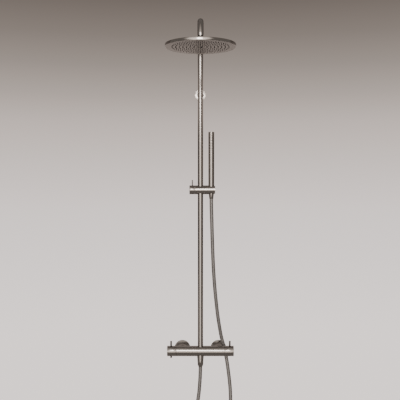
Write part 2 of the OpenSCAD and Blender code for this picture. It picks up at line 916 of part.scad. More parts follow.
module handset_ferrule() {
    color(steel) translate([handset_x, -bar_out, ferrule_top_z - ferrule_len])
        ferrule(ferrule_len - running);
}

module handset_washer() {
    color(black_rubber) translate([handset_x, -bar_out, ferrule_top_z])
        ring(hose_thread_r - 0.2, hose_r + hose_gap + 0.3, 2);
}

module handset_inlet() {
    color(brass) difference() {
        union() {
            handset_cyl(cone_top_z, handset_foot_z, hose_thread_r);
            handset_cyl(handset_foot_z - 0.3, inlet_top_z, handset_bore_r - nut_gap);
        }
        handset_cyl(cone_top_z - cut, inlet_top_z - 3, hose_r + hose_gap + 0.3);
        handset_cyl(cone_top_z, inlet_top_z + cut, 5);
    }
}

// Each spray nozzle's height and the angle at which it points out of the front.
module each_spray_nozzle() {
    for (row = [0:spray_rows - 1]) for (a = spray_angles)
        translate([handset_x, -bar_out, handset_top_z - first_row_drop - row * spray_pitch])
            rotate([90, 0, a]) children();
}

module handset_tube() {
    tube_len = handset_len - cap_len;
    color(metal) difference() {
        translate([handset_x, -bar_out, handset_foot_z]) ring(handset_r, handset_bore_r,
            tube_len);
        each_spray_nozzle() cylinder(r = spray_nozzle_r + nut_gap, h = handset_r + cut);
    }
}

module handset_cap() {
    color(metal) {
        handset_cyl(handset_top_z - cap_len - 5, handset_top_z - 1, handset_bore_r - nut_gap);
        handset_cyl(handset_top_z - cap_len, handset_top_z - pin_edge, handset_r);
        translate([handset_x, -bar_out, handset_top_z - pin_edge])
            cylinder(r1 = handset_r, r2 = handset_r - pin_edge, h = pin_edge);
    }
}

module spray_core() {
    top_z = handset_top_z - cap_len - 5.2;
    color(grey_plastic) difference() {
        handset_cyl(top_z - core_len, top_z, handset_bore_r - nut_gap);
        handset_cyl(top_z - core_len - cut, top_z - 4, 5);
    }
}

module handset_nozzles() {
    color(black_rubber) each_spray_nozzle() translate([0, 0, handset_bore_r])
        cylinder(r = spray_nozzle_r, h = handset_wall + spray_nozzle_out);
}

// ---- Rain head ----

module at_head(z) {
    translate([0, -head_axis_out, z]) children();
}

// The stud's plug is brazed into the straight end of the arm.
module ball_stud() {
    collar_z = arm_end_z - 4;
    plug_len = arm_z - bend_r - arm_end_z;
    color(dark_metal) at_head(0) difference() {
        union() {
            translate([0, 0, ball_z]) sphere(r = ball_r);
            translate([0, 0, ball_z]) cylinder(r = neck_r, h = collar_z - ball_z + 0.5);
            translate([0, 0, collar_z]) cylinder(r = riser_bore_r - 0.6, h = 4);
            translate([0, 0, arm_end_z]) cylinder(r = riser_bore_r - nut_gap, h = plug_len);
        }
        translate([0, 0, ball_z - ball_r - cut]) cylinder(r = neck_r / 2, h = 60);
    }
}

// A thin round cup between the ball and its socket. It turns with the head but doesn't tilt.
module ball_seal() {
    color(black_rubber) at_head(ball_z) difference() {
        intersection() {
            sphere(r = ball_seat_r);
            translate([0, 0, -8]) cylinder(r = 2 * ball_r, h = 10);
        }
        sphere(r = ball_r + running);
    }
}

// The lower half of the ball's socket, with a foot on the head's shell.
module head_hub() {
    color(dark_metal) at_head(0) difference() {
        union() {
            translate([0, 0, head_top_z]) cylinder(r = hub_foot_r, h = hub_foot_len);
            translate([0, 0, head_top_z]) cylinder(r = hub_r, h = ball_z - head_top_z);
        }
        translate([0, 0, ball_z]) sphere(r = ball_cavity_r);
        translate([0, 0, head_top_z - cut]) cylinder(r = waterway_in_head_r, h = 20);
    }
}

module socket_nut() {
    foot_z = head_top_z + hub_foot_len + 0.3;
    top_z = ball_z + socket_end;
    color(dark_metal) at_head(0) difference() {
        translate([0, 0, foot_z]) rotate_extrude() polygon([
            [0, 0], [socket_r, 0], [socket_r, top_z - foot_z - 4],
            [socket_r - 5, top_z - foot_z], [0, top_z - foot_z]
        ]);
        translate([0, 0, foot_z - cut]) cylinder(r = hub_r + nut_gap, h = ball_z - foot_z + cut);
        translate([0, 0, ball_z]) sphere(r = ball_cavity_r);
        translate([0, 0, ball_z]) cylinder(r1 = mouth_r, r2 = mouth_r + 10 * tan(tilt_limit),
            h = 10);
    }
}

module head_shell() {
    r = head_d / 2;
    cavity_r = r - rim_wall;
    color(metal) at_head(head_z) difference() {
        rotate_extrude() polygon([
            [0, 0], [r - 0.5, 0], [r, 0.5], [r, head_rim - small_edge],
            [r - small_edge, head_rim], [0, head_rim]
        ]);
        translate([0, 0, -cut]) cylinder(r = cavity_r, h = head_rim - head_wall + cut);
        cylinder(r = waterway_in_head_r, h = head_rim + cut);
    }
}

// Places children on every nozzle: one in the middle and six more on each ring.
module each_rain_nozzle() {
    children();
    for (k = [1:nozzle_rings]) for (i = [0:6 * k - 1])
        rotate([0, 0, 60 * i / k]) translate([k * nozzle_pitch, 0]) children();
}

module face_plate() {
    color(metal) at_head(plate_z) linear_extrude(head_wall) difference() {
        circle(r = head_d / 2 - rim_wall - 0.1);
        each_rain_nozzle() circle(r = rain_nozzle_d / 2 + nut_gap, $fn = 16);
    }
}

module nozzle_mat() {
    color(black_rubber) at_head(0) {
        translate([0, 0, mat_z]) cylinder(r = mat_r, h = mat_len);
        translate([0, 0, plate_z - nozzle_drop]) linear_extrude(mat_z - plate_z + nozzle_drop)
            each_rain_nozzle() circle(r = rain_nozzle_d / 2, $fn = 16);
    }
}

valve_body();
thermostatic_cartridge();
thermostat_nut();
diverter_cartridge();
ceramic_disc_fixed();
diverter_nut();
inlet_tails();
check_valves();
union_nuts();
union_washers();
wall_union_left();
wall_union_right();
wall_flange_left();
wall_flange_right();
riser_tube();
riser_seal();
joining_sleeve();
shower_arm();
bracket_flange();
bracket_base();
bracket_rod();
bracket_screw();
bracket_grub_screw();
hanger_bolt();
hose_outlet();
outlet_washer();
valve_hose_nut();
valve_ferrule();
hose();
ball_stud();
temperature_knob();
temperature_pin();
temperature_stem();
temperature_screw();
stop_button();
flow_knob();
flow_pin();
flow_stem();
flow_screw();
ceramic_disc_moving();
holder_body();
slider_bush();
lock_pad();
lock_knob();
lock_pin();
lock_screw();
handset_ferrule();
handset_tube();
handset_cap();
spray_core();
handset_nozzles();
handset_inlet();
handset_washer();
handset_hose_nut();
ball_seal();
head_hub();
socket_nut();
head_shell();
face_plate();
nozzle_mat();
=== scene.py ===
import math

import bmesh
import bpy
from mathutils import Matrix, Vector


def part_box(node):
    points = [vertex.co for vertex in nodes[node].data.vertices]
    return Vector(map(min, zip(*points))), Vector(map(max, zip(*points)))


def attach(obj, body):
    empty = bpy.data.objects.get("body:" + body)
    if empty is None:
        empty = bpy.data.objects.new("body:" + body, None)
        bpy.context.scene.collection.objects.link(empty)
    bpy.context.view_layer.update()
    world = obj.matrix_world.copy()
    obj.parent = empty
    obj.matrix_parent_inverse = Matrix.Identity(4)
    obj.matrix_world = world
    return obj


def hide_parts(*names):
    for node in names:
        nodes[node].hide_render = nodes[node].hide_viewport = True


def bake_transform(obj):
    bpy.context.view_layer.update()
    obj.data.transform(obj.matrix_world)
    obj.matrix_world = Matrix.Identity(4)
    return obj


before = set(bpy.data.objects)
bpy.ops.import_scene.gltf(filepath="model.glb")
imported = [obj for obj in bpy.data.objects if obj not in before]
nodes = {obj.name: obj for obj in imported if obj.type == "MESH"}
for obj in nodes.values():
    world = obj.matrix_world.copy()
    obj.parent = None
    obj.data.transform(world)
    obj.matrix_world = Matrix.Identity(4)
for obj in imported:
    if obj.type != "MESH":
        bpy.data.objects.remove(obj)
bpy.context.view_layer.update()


# --- Camera -----------------------------------------------------------------------------------
# The camera stands in the room, level, a little over three metres from the wall and almost
# square to it, at the height of the holder.

MM = 0.001

camera_data = bpy.data.cameras.new("camera")
camera_data.sensor_width = 36
camera_data.lens = 67.77
camera = bpy.data.objects.new("camera", camera_data)
camera.location = (-1.8 * MM, -3146 * MM, 617.4 * MM)
camera.rotation_euler = (math.radians(90), 0, 0)
bpy.context.scene.collection.objects.link(camera)
bpy.context.scene.camera = camera


# --- Hose -------------------------------------------------------------------------------------
# A 1.5 m shower hose: a wound metal core under a smooth, satin, metallic grey skin. It runs down
# from the valve, round a hanging loop, up behind the bar and into the handset's cone nut. The
# piece goes on up inside the hollow handle, so that it still meets the nut when the handset lifts.

BAR_OUT = 66 * MM  # the bar's and the riser's distance from the wall
HOSE_R = 7.5 * MM
HOSE_ROUTE = [
    (0, 66, -46), (0, 66, -64), (-0.5, 66, -90), (-2, 66, -119), (-5, 66, -160),
    (-9.5, 66, -196), (-15, 66, -232), (-19.5, 65, -264), (-21, 63, -294), (-17, 60, -324),
    (-7, 57, -350), (9, 53, -369), (30, 49, -380), (53, 46, -383), (76, 43, -377),
    (96, 40, -362), (111, 38, -339), (120, 37, -310), (124, 36, -276), (125, 35.5, -240),
    (124.5, 35, -205), (123.4, 33, -168), (119.8, 31, -127), (115.3, 29, -90),
    (111, 27, -58), (105.5, 25, -27), (100, 25, 2), (94, 26.5, 24), (86.5, 30, 51),
    (79, 36, 92), (70.5, 42, 148), (61.5, 51, 230), (55, 57, 310), (51, 60.5, 388),
    (48.3, 64, 466), (46.2, 65.5, 540), (44.8, 66, 590), (44.5, 66, 622), (44.5, 66, 652),
    (44.5, 66, 682), (44.5, 66, 712),
]
HOSE_SIDES = 24
HOSE_STEP = 4 * MM


def new_piece(name, bm, material, body, smooth_angle=30):
    mesh = bpy.data.meshes.new(name)
    bm.to_mesh(mesh)
    bm.free()
    mesh.materials.append(material)
    mesh.shade_smooth()
    mesh.set_sharp_from_angle(angle=math.radians(smooth_angle))
    piece = bpy.data.objects.new(name, mesh)
    bpy.context.scene.collection.objects.link(piece)
    if body:
        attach(piece, body)
    return piece


def smooth_route(points, step):
    """The points of an even curve through the route, about a step apart."""
    knots = [Vector((x, -out, z)) * MM for x, out, z in points]
    last = len(knots) - 1
    curve = []
    for i in range(last):
        a, b = knots[max(i - 1, 0)], knots[i]
        c, d = knots[i + 1], knots[min(i + 2, last)]
        count = max(2, round((c - b).length / step))
        for k in range(count):
            t = k / count
            curve.append(0.5 * (
                2 * b + (c - a) * t + (2 * a - 5 * b + 4 * c - d) * t * t
                + (3 * b - a - 3 * c + d) * t ** 3
            ))
    return curve + [knots[last]]


def drawn_tube(path, radius, sides):
    """A round bar drawn along the path. Each point keeps its place round it and along it."""
    bm = bmesh.new()
    place = bm.verts.layers.float_vector.new("along")
    heading = (path[1] - path[0]).normalized()
    ring = bmesh.ops.create_circle(bm, segments=sides, radius=radius)["verts"]
    for vert in ring:
        vert[place] = (vert.co.x / radius, vert.co.y / radius, 0)
    bmesh.ops.contextual_create(bm, geom=ring)
    start = Vector((0, 0, 1)).rotation_difference(heading).to_matrix()
    bmesh.ops.rotate(bm, verts=bm.verts, cent=(0, 0, 0), matrix=start)
    bmesh.ops.translate(bm, verts=bm.verts, vec=path[0])
    rim = list(bm.edges)
    travelled = 0.0
    for i in range(1, len(path)):
        ahead = (path[min(i + 1, len(path) - 1)] - path[i - 1]).normalized()
        move = path[i] - path[i - 1]
        travelled += move.length
        made = bmesh.ops.extrude_edge_only(bm, edges=rim)["geom"]
        fresh = {g for g in made if isinstance(g, bmesh.types.BMVert)}
        rim = [g for g in made if isinstance(g, bmesh.types.BMEdge) and set(g.verts) <= fresh]
        turn = heading.rotation_difference(ahead).to_matrix()
        bmesh.ops.translate(bm, verts=list(fresh), vec=move)
        bmesh.ops.rotate(bm, verts=list(fresh), cent=path[i], matrix=turn)
        for vert in fresh:
            vert[place] = (vert[place].x, vert[place].y, travelled)
        heading = ahead
    bmesh.ops.contextual_create(bm, geom=rim)
    bmesh.ops.recalc_face_normals(bm, faces=bm.faces)
    return bm


def add_node(tree, kind, **settings):
    """A shader node with its settings, whether they are properties or input sockets."""
    node = tree.nodes.new(kind)
    for key, value in settings.items():
        if hasattr(node, key):
            setattr(node, key, value)
        else:
            node.inputs[key].default_value = value
    return node


class Nodes:
    """A material's node tree, with short calls for the nodes that these finishes share."""

    def __init__(self, name):
        self.material = bpy.data.materials.new(name)
        self.material.use_nodes = True
        self.tree = self.material.node_tree
        self.shader = self.tree.nodes["Principled BSDF"]

    def add(self, kind, **settings):
        return add_node(self.tree, kind, **settings)

    def link(self, out, to):
        self.tree.links.new(out, to)

    def place(self, scale=(1, 1, 1)):
        coords = self.add("ShaderNodeTexCoord")
        return self.scaled(coords.outputs["Object"], scale)

    def along(self, scale=(1, 1, 1)):
        drawn = self.add("ShaderNodeAttribute", attribute_name="along")
        return self.scaled(drawn.outputs["Vector"], scale)

    def scaled(self, vector, scale):
        mapping = self.add("ShaderNodeMapping", Scale=scale)
        self.link(vector, mapping.inputs["Vector"])
        return mapping.outputs["Vector"]

    def noise(self, vector, scale, detail=3.0, roughness=0.5):
        noise = self.add("ShaderNodeTexNoise", Scale=scale, Detail=detail, Roughness=roughness)
        self.link(vector, noise.inputs["Vector"])
        return noise.outputs["Fac"]

    def span(self, value, low, high, from_low=0.3, from_high=0.7):
        spread = self.add("ShaderNodeMapRange")
        spread.inputs["From Min"].default_value = from_low
        spread.inputs["From Max"].default_value = from_high
        spread.inputs["To Min"].default_value = low
        spread.inputs["To Max"].default_value = high
        self.link(value, spread.inputs["Value"])
        return spread.outputs["Result"]

    def sum(self, first, second):
        both = self.add("ShaderNodeMath", operation="ADD")
        self.link(first, both.inputs[0])
        self.link(second, both.inputs[1])
        return both.outputs[0]

    def colours(self, value, stops):
        ramp = self.add("ShaderNodeValToRGB")
        while len(ramp.color_ramp.elements) < len(stops):
            ramp.color_ramp.elements.new(0.5)
        for element, (place, colour) in zip(ramp.color_ramp.elements, stops):
            element.position = place
            element.color = (*colour, 1)
        self.link(value, ramp.inputs["Fac"])
        return ramp.outputs["Color"]

    def bump(self, height, depth):
        bump = self.add("ShaderNodeBump", Strength=1.0, Distance=depth)
        self.link(height, bump.inputs["Height"])
        self.link(bump.outputs["Normal"], self.shader.inputs["Normal"])

    def to_shader(self, value, socket):
        self.link(value, self.shader.inputs[socket])


def hose_skin():
    n = Nodes("hose_skin")
    n.shader.inputs["Metallic"].default_value = 0.5
    n.shader.inputs["Coat Weight"].default_value = 0.15
    n.shader.inputs["Coat Roughness"].default_value = 0.35
    n.shader.inputs["Coat IOR"].default_value = 1.45
    winding = n.add("ShaderNodeTexWave", wave_type="BANDS", bands_direction="Z", Scale=62.0)
    n.link(n.along(), winding.inputs["Vector"])
    speckle = n.noise(n.place(), 900, 2)
    patches = n.noise(n.place(), 14, 3)
    n.to_shader(n.colours(patches, [(0.3, (0.17, 0.157, 0.147)), (0.7, (0.21, 0.195, 0.183))]),
                "Base Color")
    n.to_shader(n.span(speckle, 0.38, 0.48), "Roughness")
    n.bump(winding.outputs["Fac"], 0.06 * MM)
    return n.material


hose_path = smooth_route(HOSE_ROUTE, HOSE_STEP)
bm = drawn_tube(hose_path, HOSE_R, HOSE_SIDES)
hose = new_piece("shower_hose", bm, hose_skin(), None, smooth_angle=60)
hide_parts("hose")
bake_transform(hose)


# --- Wall unions ------------------------------------------------------------------------------
# A machined brass union sits in each water outlet of the wall. It has a G1/2 thread in the wall,
# a larger thread in the room, and the bar's brass tail, check valve and washer inside its nut.

PIPE_THREAD_PITCH = 1.814
PIPE_THREAD_DEPTH = 1.16
PIPE_THREAD_R = 10.48  # G1/2
UNION_BORE_R = 7.5
UNION_BODY_R = 12
UNION_THREAD_R = 13.2


def turned(outline, steps=96, closed=True, edge=0.0, segments=3):
    """A piece turned on the Z axis from (radius, height) points in mm, its edges rounded."""
    bm = bmesh.new()
    points = [bm.verts.new((r * MM, 0, h * MM)) for r, h in outline]
    ends = points[1:] + points[:1] if closed else points[1:]
    lines = [bm.edges.new(pair) for pair in zip(points, ends)]
    bmesh.ops.spin(bm, geom=points + lines, cent=(0, 0, 0), axis=(0, 0, 1),
                   angle=math.tau, steps=steps, use_merge=True)
    bmesh.ops.remove_doubles(bm, verts=bm.verts, dist=1e-6)
    bmesh.ops.recalc_face_normals(bm, faces=bm.faces)
    if edge:
        round_edges(bm, edge, segments)
    return bm


def round_edges(bm, edge, segments=3, sharper_than=25):
    limit = math.radians(sharper_than)
    sharp = [e for e in bm.edges if e.is_manifold and e.calc_face_angle() > limit]
    bmesh.ops.bevel(bm, geom=sharp, offset=edge * MM, segments=segments, profile=0.5,
                    affect="EDGES", material=-1, clamp_overlap=True)


def set_down(bm, place, along=(0, 0, 1)):
    """Turns a piece's Z axis to point along, then moves its origin to the place."""
    turn = Vector((0, 0, 1)).rotation_difference(Vector(along)).to_matrix()
    bmesh.ops.rotate(bm, verts=bm.verts, cent=(0, 0, 0), matrix=turn)
    bmesh.ops.translate(bm, verts=bm.verts, vec=place)


def thread(radius, start, end, pitch, depth):
    """The outline of a thread's crests and roots from one height to another."""
    outline = []
    turns = int((end - start) / pitch)
    for k in range(turns):
        foot = start + k * pitch
        outline += [(radius - depth, foot), (radius, foot + 0.45 * pitch),
                    (radius, foot + 0.55 * pitch), (radius - depth, foot + pitch)]
    outline = [p for i, p in enumerate(outline) if i == 0 or p != outline[i - 1]]
    return outline


def brushed(name, lines, colours, roughness=(0.14, 0.17), depth=0.00012, drawn=False):
    """Brushed or turned metal. lines gives how fast the marks change along X, Y and Z."""
    n = Nodes(name)
    n.shader.inputs["Metallic"].default_value = 1.0
    marks = n.noise(n.along(lines) if drawn else n.place(lines), 1.0, 2.5, 0.6)
    smudges = n.noise(n.place(), 9, 4)
    n.to_shader(n.colours(marks, [(0.3, colours[0]), (0.7, colours[1])]), "Base Color")
    n.to_shader(n.sum(n.span(marks, *roughness), n.span(smudges, -0.01, 0.03)), "Roughness")
    n.bump(marks, depth * MM)
    return n.material


FINE, COARSE = 2400, 50
BRASS = ((0.56, 0.42, 0.2), (0.66, 0.51, 0.26))
machined_brass = brushed("machined_brass", (COARSE, FINE, COARSE), BRASS, (0.22, 0.34))


def moulded(name, colours, roughness=(0.4, 0.5), grain=0.004, sheen=0.0):
    """Plastic or rubber from a mould: a fine grain and a slightly uneven gloss."""
    n = Nodes(name)
    n.shader.inputs["Sheen Weight"].default_value = sheen
    patches = n.noise(n.place(), 40, 3)
    fine = n.noise(n.place(), 1500, 2)
    n.to_shader(n.colours(patches, [(0.3, colours[0]), (0.7, colours[1])]), "Base Color")
    n.to_shader(n.span(fine, *roughness), "Roughness")
    n.bump(fine, grain * MM)
    return n.material


black_rubber = moulded("black_rubber", ((0.018, 0.018, 0.018), (0.03, 0.03, 0.03)),
                       (0.6, 0.75), sheen=0.2)
grey_plastic = moulded("grey_plastic", ((0.09, 0.09, 0.092), (0.12, 0.12, 0.123)))


def finish_nodes(material, *names):
    for name in names:
        slots = nodes[name].data.materials
        slots.clear()
        slots.append(material)


def middle(name):
    low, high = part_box(name)
    return (Vector(low) + Vector(high)) / 2


def size(name):
    low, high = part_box(name)
    return (Vector(high) - Vector(low)) / MM


inlets = {}
for side in ("left", "right"):
    node = f"wall_union_{side}"
    low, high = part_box(node)
    at = Vector((middle(node).x, 0, middle(node).z))
    inlets[side] = at
    room_end = -low[1] / MM
    wall_end = -high[1] / MM
    outline = [(UNION_BORE_R, wall_end)]
    outline += thread(PIPE_THREAD_R, wall_end + 0.6, 0.2, PIPE_THREAD_PITCH,
                      PIPE_THREAD_DEPTH)
    outline += [(UNION_BODY_R, 0.4), (UNION_BODY_R, room_end - 15.4)]
    outline += thread(UNION_THREAD_R, room_end - 15, room_end - 0.6, PIPE_THREAD_PITCH,
                      PIPE_THREAD_DEPTH)
    outline += [(UNION_BODY_R, room_end), (UNION_BORE_R, room_end)]
    bm = turned(outline, steps=64)
    set_down(bm, at, along=(0, -1, 0))
    union = new_piece(f"threaded_union_{side}", bm, machined_brass, "column")
    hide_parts(node)

finish_nodes(machined_brass, "inlet_tails")
finish_nodes(grey_plastic, "check_valves")
finish_nodes(black_rubber, "union_washers")


# --- Union nuts and wall flanges --------------------------------------------------------------
# A chamfered hexagon nut draws the bar on to each union. A thin bell, spun from sheet brass and
# plated, slides over the union and hides the hole in the wall. Both have the column's plating.

GUNMETAL = ((0.285, 0.257, 0.235), (0.335, 0.303, 0.278))

brushed_round_y = brushed("brushed_round_y", (COARSE, FINE, COARSE), GUNMETAL)


def spare_mesh(name, bm):
    """A mesh to copy into a larger piece. It is removed once its copies are made."""
    mesh = bpy.data.meshes.new(name)
    bm.to_mesh(mesh)
    bm.free()
    return mesh


def hexagon_nut(across, length, bore, crown):
    """A nut on the Z axis whose corners are cut back in arcs at both ends."""
    corner_cut = across / 2 * 0.97
    heights = [0, crown / 3, crown * 2 / 3, crown]
    heights += [length - h for h in reversed(heights)]
    bm = bmesh.new()
    ring = bmesh.ops.create_circle(bm, segments=72, radius=1)["verts"]
    rim = list(bm.edges)
    opening = list(rim)
    for k, height in enumerate(heights + [length, 0]):
        if k:
            made = bmesh.ops.extrude_edge_only(bm, edges=rim)["geom"]
            ring = [g for g in made if isinstance(g, bmesh.types.BMVert)]
            rim = [g for g in made
                   if isinstance(g, bmesh.types.BMEdge) and set(g.verts) <= set(ring)]
        for vert in ring:
            angle = math.atan2(vert.co.y, vert.co.x)
            from_flat = (angle + math.radians(30)) % math.radians(60) - math.radians(30)
            flat = across / 2 / math.cos(from_flat)
            cone = corner_cut + min(height, length - height) * 1.73
            radius = min(flat, cone) if k < len(heights) else bore
            vert.co = Vector((math.cos(angle), math.sin(angle), 0)) * radius * MM
            vert.co.z = height * MM
    bmesh.ops.bridge_loops(bm, edges=opening + rim)
    bmesh.ops.recalc_face_normals(bm, faces=bm.faces)
    return bm


nut_low, nut_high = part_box("union_nuts")
nut_length = (nut_high[1] - nut_low[1]) / MM
both_nuts = bmesh.new()
for at in inlets.values():
    bm = hexagon_nut(across=30, length=nut_length, bore=10.2, crown=2.2)
    set_down(bm, at + Vector((0, nut_high[1], 0)), along=(0, -1, 0))
    one_nut = spare_mesh("one_nut", bm)
    both_nuts.from_mesh(one_nut)
    bpy.data.meshes.remove(one_nut)
piece = new_piece("hexagon_nuts", both_nuts, brushed_round_y, "column", smooth_angle=20)
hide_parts("union_nuts")

for side, at in inlets.items():
    node = f"wall_flange_{side}"
    rim_r = size(node).x / 2
    depth = size(node).y
    throat_r = 14.8
    sweep_r = rim_r - 1.2 - throat_r
    sweep_h = depth - 3.4
    outside = [(rim_r, 0.3), (rim_r, 2), (rim_r - 0.4, 2.8)]
    inside = []
    for k in range(13):
        t = k / 12
        r = throat_r + sweep_r * (1 - t)
        h = 3.2 + sweep_h * (0.47 * t + 0.53 * t ** 3)
        outside.append((r, h))
        inside.append((r - 1.0, h - 0.9))
    outside.append((throat_r - 0.4, depth))
    inside.append((throat_r - 1.2, depth - 0.4))
    outline = outside + list(reversed(inside)) + [(rim_r - 1.4, 0)]
    bm = turned(outline, steps=112)
    set_down(bm, at, along=(0, -1, 0))
    bell = new_piece(f"wall_bell_{side}", bm, brushed_round_y, "column", smooth_angle=40)
    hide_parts(node)


# --- Bar valve --------------------------------------------------------------------------------
# A turned brass bar, brushed and plated, holds a thermostatic cartridge at the left and a
# ceramic-disc diverter at the right. Brass nuts keep both in their seats.

brushed_round_x = brushed("brushed_round_x", (FINE, COARSE, COARSE), GUNMETAL)
machined_steel = brushed("machined_steel", (COARSE, FINE, COARSE),
                         ((0.45, 0.45, 0.46), (0.56, 0.56, 0.57)), (0.22, 0.34))
white_plastic = moulded("white_plastic", ((0.70, 0.70, 0.68), (0.76, 0.76, 0.74)))

finish_nodes(brushed_round_x, "valve_body")
finish_nodes(machined_brass, "thermostatic_cartridge", "thermostat_nut", "diverter_nut")
finish_nodes(white_plastic, "diverter_cartridge", "ceramic_disc_fixed")
finish_nodes(machined_steel, "ceramic_disc_moving", "temperature_stem", "flow_stem")


# --- Knobs ------------------------------------------------------------------------------------
# A turned knob covers each end of the bar, with a softened outer edge, a narrow gap at the bar
# and a screw sunk in its end. A pin on top is its lever. The left one has a stop button below.

KNOB_WALL = 3.5
LEVER_ROOT = 4.0
STEM_BOSS_R = 7.5
STEM_SOCKET_R = 4.05
STEM_SOCKET_END = 25.7
SCREW_HOLE_R = 2.05
SCREW_HEAD_R = 3.7
pin_steel = brushed("pin_steel", (COARSE, COARSE, FINE),
                    ((0.09, 0.082, 0.075), (0.115, 0.105, 0.096)), (0.32, 0.4))
dark_plating = brushed("dark_plating", (COARSE, COARSE, FINE),
                       ((0.10, 0.092, 0.085), (0.14, 0.128, 0.118)), (0.24, 0.34))

for name, outward in (("temperature", -1), ("flow", 1)):
    low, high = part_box(f"{name}_knob")
    length = size(f"{name}_knob").x
    r = size(f"{name}_knob").y / 2
    start = high[0] if outward < 0 else low[0]
    cavity = length - 8.6
    outline = [
        (r - KNOB_WALL, 0), (r, 0), (r, length), (SCREW_HEAD_R + 0.7, length),
        (SCREW_HEAD_R, length - 0.7), (SCREW_HEAD_R, length - 3), (SCREW_HOLE_R, length - 3),
        (SCREW_HOLE_R, STEM_SOCKET_END), (STEM_SOCKET_R, STEM_SOCKET_END), (STEM_SOCKET_R, 0.4),
        (STEM_BOSS_R, 0.4), (STEM_BOSS_R, cavity), (r - KNOB_WALL, cavity),
    ]
    bm = turned(outline, edge=0.5)
    set_down(bm, (start, -BAR_OUT, 0), along=(outward, 0, 0))
    knob = new_piece(f"{name}_cap", bm, brushed_round_x, name)
    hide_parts(f"{name}_knob")

    low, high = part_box(f"{name}_pin")
    pin_r = size(f"{name}_pin").x / 2
    top = high[2] / MM
    foot = r - LEVER_ROOT
    outline = [(0, foot), (pin_r, foot), (pin_r, top), (0, top)]
    bm = turned(outline, steps=32, closed=False, edge=0.7)
    set_down(bm, (middle(f"{name}_pin").x, -BAR_OUT, 0))
    pin = new_piece(f"{name}_lever", bm, pin_steel, name)
    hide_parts(f"{name}_pin")

finish_nodes(machined_steel, "temperature_screw", "flow_screw")

low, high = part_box("stop_button")
head_r = size("stop_button").x / 2
button_r = head_r - 1.2
top, foot = high[2] / MM, low[2] / MM
outline = [
    (0, top), (head_r, top), (head_r, top - 1.5), (button_r, top - 1.5), (button_r, foot),
    (0, foot),
]
bm = turned(outline, steps=40, closed=False, edge=0.5)
set_down(bm, (middle("stop_button").x, -BAR_OUT, 0))
button = new_piece("safety_button", bm, dark_plating, "stop")
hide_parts("stop_button")


# --- Hose outlet ------------------------------------------------------------------------------
# A short collar screwed into the bar's boss, with a G1/2 thread below it. A slim tapered nut
# draws the hose's crimped steel ferrule up against a rubber washer.

brushed_round_z = brushed("brushed_round_z", (COARSE, COARSE, FINE), GUNMETAL)

NUT_THREAD_R = 10.53
NUT_HOLE_R = 7.65
CONE_TIP_R = 8.3
OUTLET_BORE_R = 6.5
OUTLET_NECK_R = 9.5

low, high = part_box("hose_outlet")
collar_r = size("hose_outlet").x / 2
collar_top = -24
collar_foot = -29.0
outline = [
    (OUTLET_BORE_R, high[2] / MM), (OUTLET_NECK_R, high[2] / MM), (OUTLET_NECK_R, collar_top),
    (collar_r, collar_top), (collar_r, collar_foot),
]
outline += [(r, h) for r, h in reversed(thread(PIPE_THREAD_R, low[2] / MM + 0.4, collar_foot,
                                               PIPE_THREAD_PITCH, PIPE_THREAD_DEPTH))]
outline += [(9.2, low[2] / MM), (OUTLET_BORE_R, low[2] / MM)]
bm = turned(outline, steps=72)
set_down(bm, (0, -BAR_OUT, 0))
outlet = new_piece("outlet_collar", bm, brushed_round_z, "column", smooth_angle=25)
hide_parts("hose_outlet")


def groove(radius, height):
    """A fine turned groove in a flank that is outlined downward."""
    return [(radius, height + 0.45), (radius - 0.35, height + 0.22),
            (radius - 0.35, height - 0.22), (radius, height - 0.45)]


low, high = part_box("valve_hose_nut")
nut_top, nut_foot = high[2] / MM, low[2] / MM
thread_foot, waist = -46, -55
outline = [(NUT_THREAD_R, nut_top), (12.75, nut_top)]
outline += groove(12.63, nut_top - 2.6)
outline += [
    (11.6, waist), (CONE_TIP_R, nut_foot), (NUT_HOLE_R, nut_foot), (NUT_HOLE_R, thread_foot),
    (NUT_THREAD_R, thread_foot),
]
bm = turned(outline, steps=72, edge=0.3)
set_down(bm, (0, -BAR_OUT, 0))
nut = new_piece("outlet_cone_nut", bm, brushed_round_z, "column")
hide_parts("valve_hose_nut")

finish_nodes(black_rubber, "outlet_washer")
finish_nodes(machined_steel, "valve_ferrule")


# --- Riser and bracket ------------------------------------------------------------------------
# The riser is a drawn brass tube, brushed along its length. A round rod holds its top to the
# wall: it screws on to a hanger bolt, and a deep round cover hides the steel plate behind it.

HANGER_PITCH = 2.6
METRIC_PITCH = 1.0

brushed_upright = brushed("brushed_upright", (FINE, FINE, COARSE), GUNMETAL)
finish_nodes(brushed_upright, "riser_tube")
finish_nodes(black_rubber, "riser_seal")
finish_nodes(machined_brass, "joining_sleeve")
finish_nodes(brushed_round_y, "bracket_rod")
finish_nodes(machined_steel, "bracket_base", "bracket_screw", "bracket_grub_screw")

cover_r = size("bracket_flange").x / 2
cover_out = size("bracket_flange").y
rod_r = size("bracket_rod").x / 2
bracket_at = Vector((0, 0, middle("bracket_flange").z))
outline = [
    (rod_r + 0.1, cover_out - 1.2), (cover_r - 1.2, cover_out - 1.2), (cover_r - 1.2, 0),
    (cover_r, 0), (cover_r, cover_out), (rod_r + 0.1, cover_out),
]
bm = turned(outline, edge=0.5)
set_down(bm, bracket_at, along=(0, -1, 0))
cover = new_piece("bracket_cover", bm, brushed_round_y, "column")
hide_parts("bracket_flange")

low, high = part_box("hanger_bolt")
tip_out, rod_end = -high[1] / MM, -low[1] / MM
outline = [(0, tip_out), (1.2, tip_out)]
outline += thread(4, tip_out + 1, 0, HANGER_PITCH, 1.1)
outline += [(4, 0), (3, 0.1)]
outline += thread(3, 0.2, rod_end - 0.6, METRIC_PITCH, 0.5)
outline += [(2.4, rod_end), (0, rod_end)]
bm = turned(outline, steps=40, closed=False)
set_down(bm, bracket_at, along=(0, -1, 0))
bolt = new_piece("threaded_hanger", bm, machined_steel, "column")
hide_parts("hanger_bolt")


